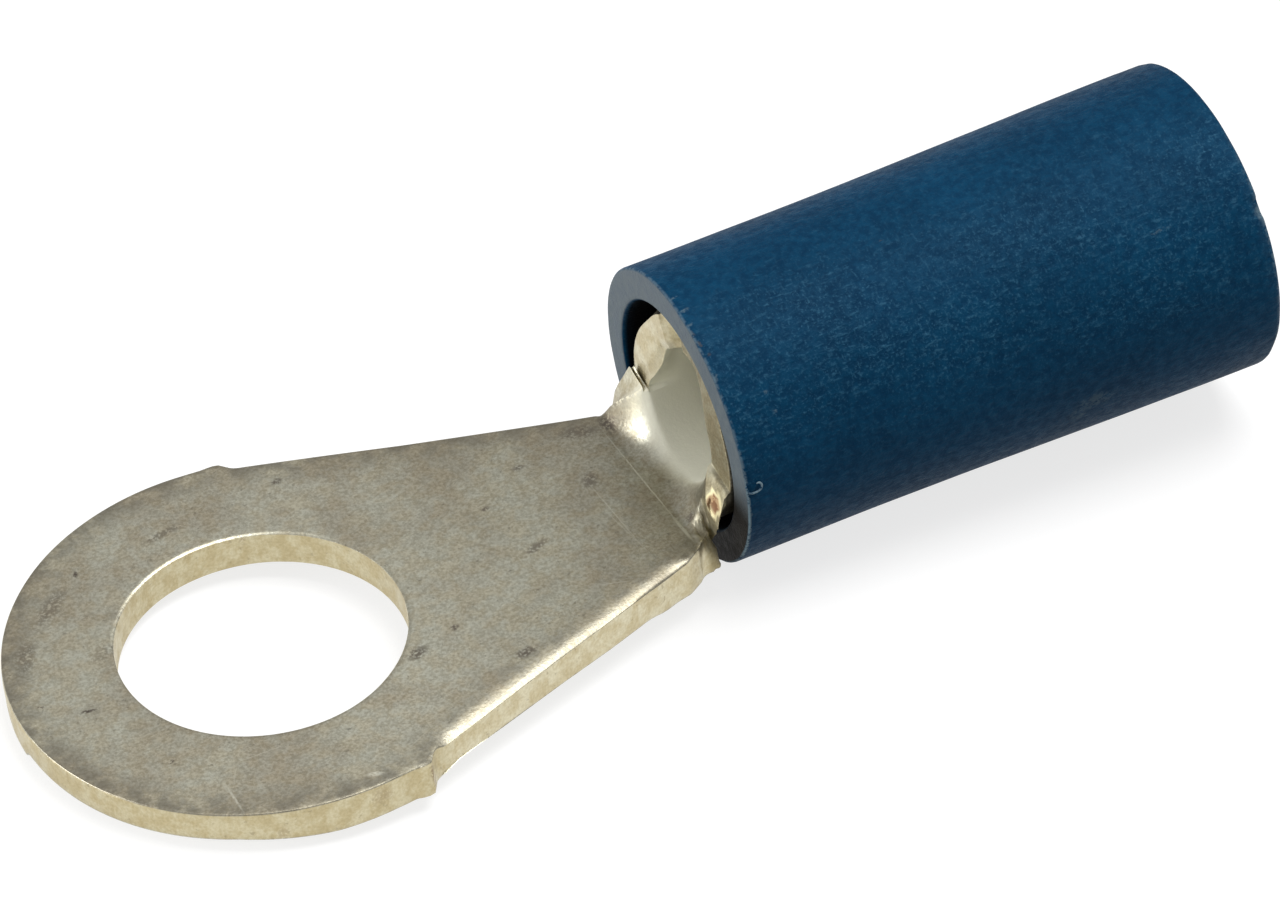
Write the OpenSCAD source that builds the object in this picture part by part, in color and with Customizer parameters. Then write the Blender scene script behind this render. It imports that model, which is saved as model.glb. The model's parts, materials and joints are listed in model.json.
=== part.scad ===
// Insulated ring terminal for an M5 stud.
// Two pieces: one metal terminal, stamped and rolled from a single strip of
// tinned copper, and one plastic sleeve pushed over its wire barrel.
// Millimetres, +Z up. The origin is the centre of the stud hole on the
// underside of the tongue; +X runs from the ring to the wire end.

/* [Ring and neck] */
// Stud hole diameter
hole_d = 5.3; // [4.3:0.1:6.4]
// Outside diameter of the ring
ring_d = 9.4; // [8.8:0.1:12]
// Thickness of the sheet the terminal is stamped from
sheet_t = 0.75; // [0.6:0.05:0.9]
// Angle round the ring, from +X, at which the neck leaves it
shoulder_a = 76; // [66:1:80]
// How far the neck steps in beside the ring
shoulder_step = 0.23; // [0:0.01:0.5]
// Length of the small slope at that step
shoulder_run = 0.36; // [0.2:0.02:0.6]
// Half width of the neck where it starts to curl
neck_end = 2.2; // [2.1:0.01:2.5]
// How much the neck narrows along the curl, each side
curl_narrow = 0.3; // [0.1:0.02:0.4]

/* [Wire barrel] */
// Front edge of the rolled barrel, from the hole centre
barrel_x = 8.5; // [8:0.1:12]
// Outside diameter of the rolled barrel
barrel_d = 4.0; // [3.8:0.05:4.4]
// Length of the barrel
barrel_len = 5.2; // [4.6:0.1:6]
// Width of the open butt seam along the top
seam_w = 0.1; // [0.06:0.02:0.2]
// How far the barrel's underside stands above the tongue's
barrel_lift = 0.04; // [0:0.01:0.1]
// Length of the curl between the flat neck and the relief slits
curl_len = 0.55; // [0.5:0.05:1]
// Width of the relief slit ahead of each barrel wing
slit_w = 0.1; // [0.06:0.02:0.2]
// Half angle of the web left between the slits, from the bottom
web_a = 78; // [55:1:80]

/* [Sleeve] */
// How far the sleeve stands ahead of the barrel's front edge
sleeve_lead = 0.04; // [0:0.02:0.3]
// Length of the sleeve
sleeve_len = 10.9; // [9.5:0.1:12]
// Wall of the sleeve at its mouth
sleeve_wall = 0.65; // [0.5:0.05:0.9]
// Gap all round between the mouth and the barrel
mouth_gap = 0.2; // [0.1:0.02:0.3]
// Depth of the mouth before the sleeve grips the barrel
mouth_len = 0.9; // [0.6:0.1:1.4]
// How much wider the wire end's bore is than the barrel, all round
wire_gap = 0.2; // [0.1:0.02:0.3]
// How much the outside flares towards the wire end, all round
flare = 0.12; // [0:0.02:0.3]
// Rounding of the outer rim at the wire end
rim_round = 0.16; // [0.1:0.02:0.3]

/* [Hidden] */
$fn = 96;

tin = [0.66, 0.65, 0.60];
blue = [0.07, 0.24, 0.39];

hole_r = hole_d / 2;
ring_r = ring_d / 2;
barrel_r = barrel_d / 2;
bore_r = barrel_r - sheet_t;
axis_z = barrel_r + barrel_lift;
shoulder_x = ring_r * cos(shoulder_a);
shoulder_y = ring_r * sin(shoulder_a);
neck_root = shoulder_y - shoulder_step;
slit_x = barrel_x - slit_w;
curl_x = slit_x - curl_len;
neck_x = curl_x - 0.2;
sleeve_x = barrel_x - sleeve_lead;
mouth_r = barrel_r + mouth_gap;
sleeve_r = mouth_r + sleeve_wall;
flare_r = sleeve_r + flare;
wire_r = barrel_r + wire_gap;
grip_end = sleeve_lead + barrel_len + 0.2;
through = sheet_t + 2;

// The curl: the strip's section bends from flat to the barrel's round.
across = 12;
steps = 6;
// a point of the strip: s across it, d down from its top face. u is how far
// the strip is along the curl: 0 is flat and 1 has the barrel's round.
function strip_pt(x, s, d, u) =
    let (k = (1 - pow(1 - u, 1.75)) / bore_r, top = sheet_t + barrel_lift * u)
    k < 0.001
    ? [x, s, top - d]
    : [x, (1 / k + d) * sin(s * k * 180 / PI),
       top + 1 / k - (1 / k + d) * cos(s * k * 180 / PI)];
function strip_row(x, d, u) =
    let (half = neck_end - curl_narrow * u)
    [for (j = [0 : across]) strip_pt(x, half * (2 * j / across - 1), d, u)];
// a closed section: along the top face and back along the bottom, both
// skin deep, so that a section can end inside the barrel's wall
function section(x, u, skin) =
    concat(strip_row(x, skin, u),
           [for (j = [across : -1 : 0]) strip_row(x, sheet_t - skin, u)[j]]);

module curl() {
    secs = concat([section(neck_x, 0, 0)],
                  [for (i = [0 : steps])
                      section(curl_x + curl_len * i / steps, i / steps, 0)],
                  [section(barrel_x, 1, 0.03)],
                  [section(barrel_x + 0.3, 1, 0.15)]);
    m = 2 * (across + 1);
    last = (len(secs) - 1) * m;
    polyhedron(
        points = [for (sec = secs) for (p = sec) p],
        faces = concat(
            [for (j = [0 : across - 1]) [m - 1 - j, m - 2 - j, j + 1, j]],
            [for (j = [0 : across - 1])
                [last + j, last + j + 1, last + m - 2 - j, last + m - 1 - j]],
            [for (i = [0 : len(secs) - 2]) for (j = [0 : m - 1])
                let (a = i * m + j, b = i * m + (j + 1) % m)
                each [[a, b + m, a + m], [a, b, b + m]]]));
}

// a slit between a stub of the neck and the barrel's wing, above the web
module slit(side) {
    reach = 2 * barrel_r;
    near = 0.5 * bore_r;
    translate([slit_x, 0, axis_z]) rotate([90, 0, 90])
        linear_extrude(height = slit_w)
            polygon([[side * near * sin(web_a), -near * cos(web_a)],
                     [side * reach * sin(web_a), -reach * cos(web_a)],
                     [side * reach, barrel_r], [side * near, barrel_r]]);
}

module along_barrel(x) {
    translate([x, 0, axis_z]) rotate([0, 90, 0]) children();
}

module tongue() {
    difference() {
        union() {
            cylinder(r = ring_r, h = sheet_t);
            linear_extrude(height = sheet_t)
                polygon([[0, 1 - ring_r], [shoulder_x, -shoulder_y + 0.12],
                         [shoulder_x + shoulder_run, -neck_root],
                         [neck_x, -neck_end], [neck_x, neck_end],
                         [shoulder_x + shoulder_run, neck_root],
                         [shoulder_x, shoulder_y - 0.12], [0, ring_r - 1]]);
        }
        translate([0, 0, -1]) cylinder(r = hole_r, h = through);
    }
}

module barrel() {
    difference() {
        along_barrel(barrel_x) cylinder(r = barrel_r, h = barrel_len);
        along_barrel(barrel_x - 1) cylinder(r = bore_r, h = barrel_len + 2);
        translate([barrel_x - 1, -seam_w / 2, axis_z])
            cube([barrel_len + 2, seam_w, 2 * barrel_r]);
    }
}

module terminal() {
    color(tin) union() {
        tongue();
        difference() {
            curl();
            slit(1);
            slit(-1);
        }
        barrel();
    }
}

module sleeve() {
    edge = 0.05;
    color(blue) along_barrel(sleeve_x) rotate_extrude()
        polygon([[mouth_r + edge, 0], [sleeve_r - edge, 0], [sleeve_r, edge],
                 [sleeve_r, sleeve_len / 3],
                 [sleeve_r + 0.35 * flare, 0.54 * sleeve_len],
                 [sleeve_r + 0.78 * flare, 0.76 * sleeve_len],
                 [flare_r, sleeve_len - 2 * rim_round],
                 [flare_r - 0.12 * rim_round, sleeve_len - 0.8 * rim_round],
                 [flare_r - 0.5 * rim_round, sleeve_len - 0.2 * rim_round],
                 [flare_r - rim_round, sleeve_len],
                 [wire_r + rim_round / 2, sleeve_len],
                 [wire_r, sleeve_len - rim_round / 2],
                 [wire_r, grip_end + 0.5],
                 [barrel_r, grip_end],
                 [barrel_r, mouth_len + 0.2],
                 [mouth_r, mouth_len],
                 [mouth_r, edge]]);
}

terminal();
sleeve();
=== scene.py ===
import json
import math

import bpy
from bpy.props import FloatProperty, FloatVectorProperty, IntProperty, PointerProperty
from mathutils import Matrix, Vector, noise


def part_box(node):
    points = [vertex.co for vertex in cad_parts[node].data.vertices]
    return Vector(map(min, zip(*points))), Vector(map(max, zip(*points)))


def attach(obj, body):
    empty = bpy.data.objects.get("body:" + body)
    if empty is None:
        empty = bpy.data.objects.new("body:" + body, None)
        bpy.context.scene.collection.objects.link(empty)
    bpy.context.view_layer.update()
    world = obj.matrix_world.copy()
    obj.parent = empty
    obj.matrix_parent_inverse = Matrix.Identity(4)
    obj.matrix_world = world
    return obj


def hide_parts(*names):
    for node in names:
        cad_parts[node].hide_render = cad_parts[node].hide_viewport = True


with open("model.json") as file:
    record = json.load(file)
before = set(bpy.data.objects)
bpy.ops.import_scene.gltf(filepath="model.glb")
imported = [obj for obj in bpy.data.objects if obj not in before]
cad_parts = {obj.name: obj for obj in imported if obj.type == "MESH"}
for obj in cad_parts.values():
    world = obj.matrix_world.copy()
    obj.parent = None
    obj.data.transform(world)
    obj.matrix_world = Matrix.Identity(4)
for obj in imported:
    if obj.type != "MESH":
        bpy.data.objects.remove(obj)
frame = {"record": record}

bl_info = {
    "name": "Ring terminal",
    "version": (1, 0, 0),
    "blender": (4, 5, 0),
    "location": "3D View > Sidebar > Terminal",
    "description": "Models an insulated crimp ring terminal piece by piece",
    "category": "Object",
}

# Sizes are in millimetres while a piece is modelled. finish_piece() brings it to metres.
MM = 0.001
MOUNT = {m["name"]: m for m in frame["record"]["mounts"]}
STRIP_LOW, STRIP_HIGH = (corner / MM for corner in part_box("terminal"))
TUBE_LOW, TUBE_HIGH = (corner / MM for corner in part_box("sleeve"))
HOLE_R = MOUNT["stud_hole"]["dims"]["r_mm"]
SHEET = MOUNT["stud_hole"]["dims"]["length_mm"]
BORE_R = MOUNT["wire_barrel"]["dims"]["r_mm"]
AXIS_Z = MOUNT["wire_barrel"]["pos_m"][2] / MM
ENTRY_R = MOUNT["insulation_entry"]["dims"]["r_mm"]
RING_R = -STRIP_LOW.x
BARREL_R = BORE_R + SHEET
BARREL_END = STRIP_HIGH.x
TUBE_X = TUBE_LOW.x
TUBE_END = TUBE_HIGH.x
BODY_R = 2.85                       # outside radius of the sleeve's straight front
STRAIGHT = 2.6                      # and the length of that front
FLARE_R = TUBE_HIGH.z - AXIS_Z
LIFT = AXIS_Z - BARREL_R


# ---------------------------------------------------------------- small helpers

def smooth(low, high, value):
    """0 on low's side, 1 on high's, and a soft step between them."""
    t = min(1.0, max(0.0, (value - low) / (high - low)))
    return t * t * (3 - 2 * t)


def lerp(a, b, t):
    return a + (b - a) * t


def steps(low, high, count):
    return [low + (high - low) * i / count for i in range(count + 1)]


def knots(table, value):
    """A value read off a short list of (place, value) pairs, straight between them."""
    for (x0, y0), (x1, y1) in zip(table, table[1:]):
        if value <= x1:
            return lerp(y0, y1, max(0.0, (value - x0) / (x1 - x0)))
    return table[-1][1]


def curve(table, value):
    """Like knots(), but on a smooth curve through the pairs."""
    first, last = table[0], table[-1]
    if value <= first[0]:
        return first[1]
    ends = [first] + table + [last]
    for (xa, ya), (x0, y0), (x1, y1), (xb, yb) in zip(ends, ends[1:], ends[2:], ends[3:]):
        if x0 < x1 and value <= x1:
            t = (value - x0) / (x1 - x0)
            lead = (y1 - ya) / (x1 - xa) * (x1 - x0)
            trail = (yb - y0) / (xb - x0) * (x1 - x0)
            bend = (2 * t - 3) * t * t
            return y0 * (1 + bend) - y1 * bend + t * (1 - t) * (lead * (1 - t) - trail * t)
    return last[1]


def deselect_all():
    if bpy.context.object and bpy.context.object.mode != "OBJECT":
        bpy.ops.object.mode_set(mode="OBJECT")
    bpy.ops.object.select_all(action="DESELECT")


def only(obj):
    deselect_all()
    obj.select_set(True)
    bpy.context.view_layer.objects.active = obj


def in_edit(obj, work):
    only(obj)
    bpy.ops.object.mode_set(mode="EDIT")
    work()
    bpy.ops.object.mode_set(mode="OBJECT")


def edit_all(obj, operator, **settings):
    """Runs one edit operator on the whole mesh."""
    in_edit(obj, lambda: (bpy.ops.mesh.select_all(action="SELECT"), operator(**settings)))


def apply_modifier(obj, kind, **settings):
    only(obj)
    modifier = obj.modifiers.new(kind.title(), kind)
    for key, value in settings.items():
        setattr(modifier, key, value)
    bpy.ops.object.modifier_apply(modifier=modifier.name)


def finish_piece(obj, material, node=None, angle=38.0):
    """To metres, smooth shaded, with its material, riding on the terminal's one body."""
    only(obj)
    obj.scale = (MM, MM, MM)
    bpy.ops.object.transform_apply(location=True, rotation=True, scale=True)
    bpy.ops.object.shade_smooth_by_angle(angle=math.radians(angle))
    obj.data.materials.clear()
    obj.data.materials.append(material)
    if node:
        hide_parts(node)
    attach(obj, "root")
    return obj


# ---------------------------------------------------------------- materials

def mix(tree, factor, a, b, kind="MIX"):
    """Mixes two colours, each a socket or a colour."""
    node = tree.nodes.new("ShaderNodeMix")
    node.data_type = "RGBA"
    node.blend_type = kind
    for socket, value in ((node.inputs[0], factor), (node.inputs[6], a), (node.inputs[7], b)):
        if isinstance(value, bpy.types.NodeSocket):
            tree.links.new(value, socket)
        elif isinstance(value, (int, float)):
            socket.default_value = value
        else:
            socket.default_value = (*value, 1.0)
    return node.outputs[2]


def shaded(tree, colour, by):
    """The colour multiplied by another."""
    return mix(tree, 1.0, colour, by, "MULTIPLY")


def math_node(tree, operation, a, b):
    node = tree.nodes.new("ShaderNodeMath")
    node.operation = operation
    for socket, value in zip(node.inputs, (a, b)):
        if isinstance(value, bpy.types.NodeSocket):
            tree.links.new(value, socket)
        else:
            socket.default_value = value
    return node.outputs[0]


def times(tree, a, b):
    return math_node(tree, "MULTIPLY", a, b)


def ramp(tree, source, low, high, to_low=0.0, to_high=1.0):
    """Maps a value's stretch low..high to to_low..to_high, clamped and eased."""
    node = tree.nodes.new("ShaderNodeMapRange")
    node.interpolation_type = "SMOOTHSTEP"
    tree.links.new(source, node.inputs["Value"])
    for key, value in (("From Min", low), ("From Max", high), ("To Min", to_low), ("To Max", to_high)):
        node.inputs[key].default_value = value
    return node.outputs["Result"]


def new_group(name, inputs, outputs):
    """A node group with these sockets, each (name, default), and its two end nodes.

    A socket whose default is None is a vector, and the others are single values."""
    group = bpy.data.node_groups.new(name, "ShaderNodeTree")
    for in_out, sockets in (("INPUT", inputs), ("OUTPUT", outputs)):
        for socket_name, default in sockets:
            kind = "NodeSocketVector" if default is None else "NodeSocketFloat"
            socket = group.interface.new_socket(name=socket_name, in_out=in_out, socket_type=kind)
            if default is not None:
                socket.default_value = default
    return group, group.nodes.new("NodeGroupInput"), group.nodes.new("NodeGroupOutput")


def speckle_group():
    """Node group: soft spots and specks of one size over a surface, in millimetres."""
    name = "Specks"
    if name in bpy.data.node_groups:
        return bpy.data.node_groups[name]
    group, inside, outside = new_group(
        name, [("Vector", None), ("Per mm", 1.0), ("Detail", 3.0), ("Low", 0.55), ("High", 0.7)],
        [("Mask", 0.0), ("Value", 0.0)])
    tex = group.nodes.new("ShaderNodeTexNoise")
    tex.inputs["Roughness"].default_value = 0.6
    cut = group.nodes.new("ShaderNodeMapRange")
    cut.interpolation_type = "SMOOTHSTEP"
    links = group.links
    for source, target in (("Vector", "Vector"), ("Per mm", "Scale"), ("Detail", "Detail")):
        links.new(inside.outputs[source], tex.inputs[target])
    links.new(tex.outputs["Fac"], cut.inputs["Value"])
    links.new(inside.outputs["Low"], cut.inputs["From Min"])
    links.new(inside.outputs["High"], cut.inputs["From Max"])
    links.new(cut.outputs["Result"], outside.inputs["Mask"])
    links.new(tex.outputs["Fac"], outside.inputs["Value"])
    return group


def mark_group():
    """Node group: one soft-edged elliptical mark, a scratch or a spot, at a place on a surface."""
    name = "Mark"
    if name in bpy.data.node_groups:
        return bpy.data.node_groups[name]
    group, inside, outside = new_group(
        name, [("Vector", None), ("Centre", None), ("Turn", None), ("Half size", None)],
        [("Mask", 0.0)])
    mapping = group.nodes.new("ShaderNodeMapping")
    mapping.vector_type = "TEXTURE"
    links = group.links
    for source, target in (("Vector", "Vector"), ("Centre", "Location"), ("Turn", "Rotation"),
                           ("Half size", "Scale")):
        links.new(inside.outputs[source], mapping.inputs[target])
    length = group.nodes.new("ShaderNodeVectorMath")
    length.operation = "LENGTH"
    links.new(mapping.outputs["Vector"], length.inputs[0])
    links.new(ramp(group, length.outputs["Value"], 1.0, 0.25), outside.inputs["Mask"])
    return group


def use_group(tree, group, vector, **values):
    node = tree.nodes.new("ShaderNodeGroup")
    node.node_tree = group
    tree.links.new(vector, node.inputs["Vector"])
    for key, value in values.items():
        node.inputs[key.replace("_", " ")].default_value = value
    return node.outputs


def specks(tree, vector, per_mm, detail=3.0, low=0.55, high=0.7):
    return use_group(tree, speckle_group(), vector, Per_mm=per_mm, Detail=detail, Low=low, High=high)


def wobble(tree, vector, per_mm, reach):
    """The coordinates shaken by noise, to break up the outline of what is placed with them."""
    tex = tree.nodes.new("ShaderNodeTexNoise")
    tex.inputs["Scale"].default_value = per_mm
    tree.links.new(vector, tex.inputs["Vector"])
    centred = tree.nodes.new("ShaderNodeVectorMath")
    centred.operation = "SUBTRACT"
    centred.inputs[1].default_value = (0.5, 0.5, 0.5)
    tree.links.new(tex.outputs["Color"], centred.inputs[0])
    shaken = tree.nodes.new("ShaderNodeVectorMath")
    shaken.operation = "MULTIPLY_ADD"
    shaken.inputs[1].default_value = (reach, reach, reach)
    tree.links.new(centred.outputs["Vector"], shaken.inputs[0])
    tree.links.new(vector, shaken.inputs[2])
    return shaken.outputs["Vector"]


def marks(tree, vector, table, reach=0.0):
    """One mask of all the marks in a table of (x, y, z, half length, half width, turn, strength)."""
    total = None
    vector = wobble(tree, vector, 9.0, reach)
    for x, y, z, long, wide, turn, strength in table:
        mark = use_group(tree, mark_group(), vector, Centre=(x, y, z), Turn=(0, 0, math.radians(turn)),
                         Half_size=(long, wide, max(wide, 0.3)))
        part = times(tree, mark["Mask"], strength)
        total = part if total is None else math_node(tree, "MAXIMUM", total, part)
    return total


def millimetres(tree, rotation=(0, 0, 0), stretch=(1, 1, 1)):
    """The piece's own coordinates in millimetres."""
    place = tree.nodes.new("ShaderNodeTexCoord")
    mapping = tree.nodes.new("ShaderNodeMapping")
    mapping.inputs["Rotation"].default_value = rotation
    mapping.inputs["Scale"].default_value = [s / MM for s in stretch]
    tree.links.new(place.outputs["Object"], mapping.inputs["Vector"])
    return mapping.outputs["Vector"]


def attribute(tree, name):
    node = tree.nodes.new("ShaderNodeAttribute")
    node.attribute_name = name
    return node.outputs["Fac"]


def bump(tree, shader, *layers):
    """Stacks bumps, each (height socket, depth in mm, strength), on the shader's normal."""
    normal = None
    for height, depth, strength in layers:
        node = tree.nodes.new("ShaderNodeBump")
        node.inputs["Strength"].default_value = strength
        node.inputs["Distance"].default_value = depth * MM
        tree.links.new(height, node.inputs["Height"])
        if normal:
            tree.links.new(normal, node.inputs["Normal"])
        normal = node.outputs["Normal"]
    tree.links.new(normal, shader.inputs["Normal"])


def new_material(name):
    material = bpy.data.materials.new(name)
    material.use_nodes = True
    tree = material.node_tree
    tree.nodes.clear()
    shader = tree.nodes.new("ShaderNodeBsdfPrincipled")
    out = tree.nodes.new("ShaderNodeOutputMaterial")
    tree.links.new(shader.outputs["BSDF"], out.inputs["Surface"])
    return material, tree, shader


TOP = SHEET
PALE_MARKS = [                      # x, y, z, half length, half width, turn, strength
    (7.71, 0.1, TOP, 2.1, 0.022, 91.2, 0.75),
    (7.74, -1.45, TOP, 0.55, 0.05, 92.0, 0.8),
    (6.86, -0.5, TOP, 1.65, 0.018, 92.3, 0.4),
    (6.84, -1.0, TOP, 1.15, 0.016, 97.5, 0.3),
    (-2.16, -3.65, TOP, 0.52, 0.035, 89.0, 0.75),
    (-2.18, -3.3, TOP, 0.2, 0.05, 80.0, 0.5),
    (-1.25, -2.86, TOP, 0.66, 0.014, -2.0, 0.5),
    (-1.9, -3.1, TOP, 0.35, 0.012, 60.0, 0.4),
    (0.24, -4.38, TOP, 0.22, 0.08, -20.0, 1.0),
    (-0.1, 2.9, TOP, 0.25, 0.012, 15.0, 0.3),
    (6.0, -2.1, TOP, 0.5, 0.02, -19.0, 0.35),
    (8.02, -1.56, TOP + 0.1, 0.12, 0.17, 20.0, 0.7),
    (7.88, -1.8, TOP, 0.08, 0.16, 40.0, 0.5),
    (1.3, -3.95, TOP, 0.5, 0.02, 25.0, 0.3),
    (8.1, -1.45, TOP + 0.35, 0.05, 0.14, 0.0, 0.9),
]
DARK_MARKS = [
    (-3.5, -0.27, TOP, 0.2, 0.06, -10.0, 1.0),
    (-4.2, 0.26, TOP, 0.13, 0.04, -15.0, 0.9),
    (0.76, 2.47, TOP, 0.13, 0.12, 0.0, 1.0),
    (-2.26, 3.18, TOP, 0.11, 0.06, 70.0, 1.0),
    (-2.73, -2.23, TOP, 0.08, 0.06, 0.0, 1.0),
    (3.06, -1.69, TOP, 0.12, 0.09, 0.0, 1.0),
    (2.21, -1.94, TOP, 0.3, 0.2, 30.0, 0.8),
    (3.89, -2.93, TOP, 0.34, 0.16, 10.0, 0.8),
    (5.26, -0.51, TOP, 0.4, 0.14, 20.0, 0.6),
    (6.88, 0.62, TOP, 0.3, 0.2, 60.0, 0.6),
    (1.94, 3.57, TOP, 0.14, 0.09, 0.0, 0.8),
    (-0.45, 3.35, TOP, 0.6, 0.13, 8.0, 0.5),
    (-3.0, 2.6, TOP, 0.7, 0.25, 40.0, 0.5),
    (-3.9, 1.6, TOP, 0.6, 0.25, 62.0, 0.45),
    (-2.6, 1.0, TOP, 0.45, 0.3, 20.0, 0.3),
    (5.9, 1.6, TOP, 0.16, 0.1, 0.0, 0.7),
    (4.9, 0.9, TOP, 0.1, 0.07, 40.0, 0.8),
    (7.85, 1.8, TOP, 0.2, 0.36, 0.0, 0.9),
    (7.99, -1.35, TOP, 0.14, 0.2, 20.0, 0.8),
    (7.3, 1.9, TOP, 0.5, 0.25, -20.0, 0.5),
    (1.22, -4.62, 0.5, 0.08, 0.1, 0.0, 1.0),
    (1.3, -4.6, 0.15, 0.1, 0.1, 0.0, 0.9),
    (0.2, -4.68, 0.5, 0.3, 0.1, 0.0, 0.4),
    (-1.6, -4.4, 0.2, 0.3, 0.1, 20.0, 0.4),
]


def tin_material(look):
    """Dull tin plate: mottled, stained and pitted, warmer and cleaner where it was sheared, with painted
    shade towards the barrel and painted light inside it.
    """
    material, tree, shader = new_material("Stained tin plate")
    at = millimetres(tree)
    upright = millimetres(tree, stretch=(1.0, 1.0, 0.25))
    clouds = specks(tree, at, 0.6, 5.0, 0.38, 0.62)
    mottle = specks(tree, at, 3.0, 6.0, 0.4, 0.6)
    grain = specks(tree, at, 18.0, 5.0, 0.34, 0.68)
    pits = specks(tree, at, 8.0, 4.0, 0.62, 0.7)
    streaks = specks(tree, upright, 11.0, 4.0, 0.4, 0.7)
    split = tree.nodes.new("ShaderNodeSeparateXYZ")
    tree.links.new(at, split.inputs[0])
    plate = mix(tree, clouds["Mask"], tuple(look.tin_dark), tuple(look.tin))
    plate = mix(tree, mottle["Mask"], shaded(tree, plate, (0.84, 0.8, 0.75)), plate)
    plate = mix(tree, ramp(tree, grain["Value"], 0.34, 0.66, 0.0, 0.85), plate,
                shaded(tree, plate, (0.66, 0.635, 0.59)))
    plate = mix(tree, times(tree, pits["Mask"], 0.5), plate, (0.2, 0.18, 0.14))
    # Painted shade: the plate is darkened along the neck towards the barrel.
    plate = mix(tree, ramp(tree, split.outputs["X"], 1.0, 6.5, 0.0, 0.85), plate,
                shaded(tree, plate, (0.8, 0.8, 0.79)))
    rim = times(tree, attribute(tree, "rim"), ramp(tree, mottle["Value"], 0.3, 0.62))
    plate = mix(tree, times(tree, rim, 0.65), plate, (0.22, 0.19, 0.14))
    dark = times(tree, marks(tree, at, DARK_MARKS, 0.14),
                     ramp(tree, grain["Value"], 0.36, 0.52))
    plate = mix(tree, dark, plate, (0.16, 0.135, 0.11))
    pale = times(tree, marks(tree, at, PALE_MARKS, 0.03),
                     ramp(tree, grain["Value"], 0.33, 0.5))
    plate = mix(tree, times(tree, pale, 0.75), plate, (0.86, 0.85, 0.72))
    # Painted light: the barrel's inside and the bowl before it get a much lighter tin, so they read as
    # lit.
    plate = mix(tree, attribute(tree, "inside"), plate, mix(tree, 0.95, plate, tuple(look.tin_inside_painted_light)))
    edge = mix(tree, attribute(tree, "aged"), tuple(look.tin_edge),
               shaded(tree, tuple(look.tin_edge), (0.87, 0.85, 0.79)))
    edge = mix(tree, streaks["Mask"], edge, shaded(tree, edge, (0.95, 0.93, 0.89)))
    edge = mix(tree, mottle["Mask"], shaded(tree, edge, (0.9, 0.86, 0.78)), edge)
    edge = mix(tree, ramp(tree, grain["Value"], 0.35, 0.65, 0.0, 0.6), edge,
               shaded(tree, edge, (0.78, 0.75, 0.68)))
    edge = mix(tree, times(tree, pits["Mask"], 0.5), edge, (0.3, 0.25, 0.16))
    edge = mix(tree, times(tree, dark, 0.8), edge, (0.26, 0.19, 0.12))
    colour = mix(tree, attribute(tree, "sheared"), plate, edge)
    bead = times(tree, attribute(tree, "crest"),
                     specks(tree, at, 11.0, 2.0, 0.48, 0.56)["Mask"])
    colour = mix(tree, times(tree, bead, 0.85), colour, (0.95, 0.9, 0.7))
    copper = mix(tree, specks(tree, at, 6.0, 3.0, 0.45, 0.55)["Mask"],
                 (0.3, 0.17, 0.1), (0.5, 0.36, 0.22))
    colour = mix(tree, attribute(tree, "dull"), colour, shaded(tree, colour, (0.74, 0.72, 0.66)))
    colour = mix(tree, ramp(tree, attribute(tree, "torn"), 0.1, 0.3), colour, (0.72, 0.66, 0.44))
    colour = mix(tree, ramp(tree, attribute(tree, "torn"), 0.35, 0.6), colour, copper)
    tree.links.new(colour, shader.inputs["Base Color"])
    tree.links.new(ramp(tree, attribute(tree, "inside"), 0.0, 1.0, 1.0, look.inside_metal),
                   shader.inputs["Metallic"])
    rough = ramp(tree, mottle["Value"], 0.3, 0.7, 0.46, 0.34)
    rough = math_node(tree, "ADD", rough, ramp(tree, attribute(tree, "dull"), 0.0, 1.0, 0.0, 0.22))
    tree.links.new(rough, shader.inputs["Roughness"])
    bump(tree, shader,
         (mottle["Value"], 0.02, 0.3),
         (grain["Value"], 0.008, 0.5),
         (streaks["Value"], 0.006, 0.2))
    return material


SCUFFS = [                          # on the sleeve: x, degrees round from the top, half sizes, strength
    (8.57, 2.5, 0.1, 0.04, 0.8), (8.6, 10.0, 0.12, 0.05, 0.8), (8.55, 16.5, 0.08, 0.06, 0.6),
    (9.33, 58.0, 0.05, 0.05, 0.9), (9.28, 50.0, 0.05, 0.035, 0.6), (8.52, 39.0, 0.05, 0.09, 0.6),
    (15.5, 105.0, 0.5, 0.2, 0.5), (15.2, 110.0, 0.22, 0.3, 0.45), (19.25, 53.0, 0.14, 0.16, 0.8),
    (17.3, 47.0, 0.3, 0.02, 0.4), (8.5, 96.0, 0.04, 0.2, 0.7),
]
RUST = [
    (8.52, 25.0, 0.05, 0.06, 0.8), (8.6, 30.0, 0.06, 0.05, 0.7), (12.5, 12.0, 0.05, 0.03, 0.6),
    (8.5, 20.0, 0.04, 0.08, 0.7),
]


def round_the_sleeve(table):
    """Turns (x, degrees from the top, half length, half width, strength) into marks."""
    rows = []
    for x, angle, long, wide, strength in table:
        a = math.radians(angle)
        radius = lerp(BODY_R, FLARE_R, smooth(TUBE_X + STRAIGHT, TUBE_END, x))
        rows.append((x, -radius * math.sin(a), AXIS_Z + radius * math.cos(a), long, wide, 0.0, strength))
    return rows


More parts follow.
